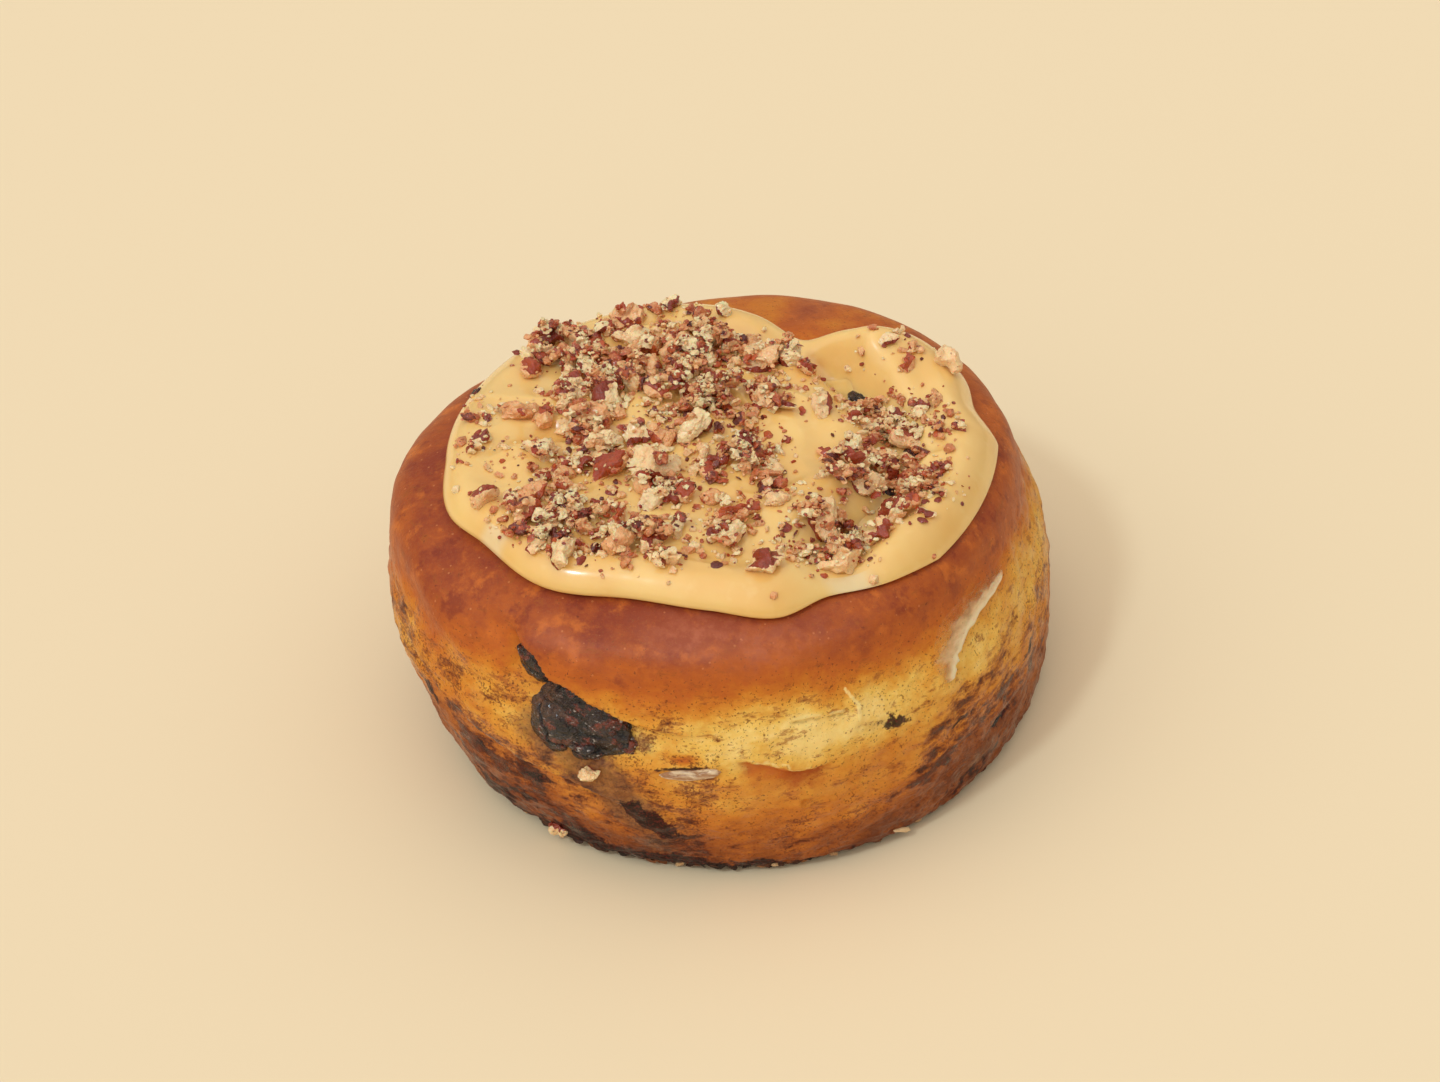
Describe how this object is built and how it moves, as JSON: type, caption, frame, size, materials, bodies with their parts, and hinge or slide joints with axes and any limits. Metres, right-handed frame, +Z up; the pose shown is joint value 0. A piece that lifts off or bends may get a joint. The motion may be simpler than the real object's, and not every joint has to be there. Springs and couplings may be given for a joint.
{
  "type": "chocolate cinnamon roll",
  "caption": "Baked roll of wound yeast dough with a spiral of chocolate cinnamon filling, caramel icing over the crown and chopped pecans.",
  "frame": {"origin": "middle of the roll's bounding box, on the plane of the flat base", "axes": "+Z up through the crown, -Y towards the side where the chocolate shows under the browned lip, just left of the front, +X to the right of that side"},
  "size_m": [0.1097, 0.1083, 0.06],
  "materials": {
    "baked_dough": "browned crust with a soft sheen, paler and yellow on the belly",
    "chocolate": "dark melted chocolate, glossy in places",
    "caramel_icing": "smooth caramel icing with a soft gloss"
  },
  "bodies": {
    "root": {"dough": "baked_dough", "chocolate_filling": "chocolate", "caramel_icing": "caramel_icing"}
  },
  "joints": []
}
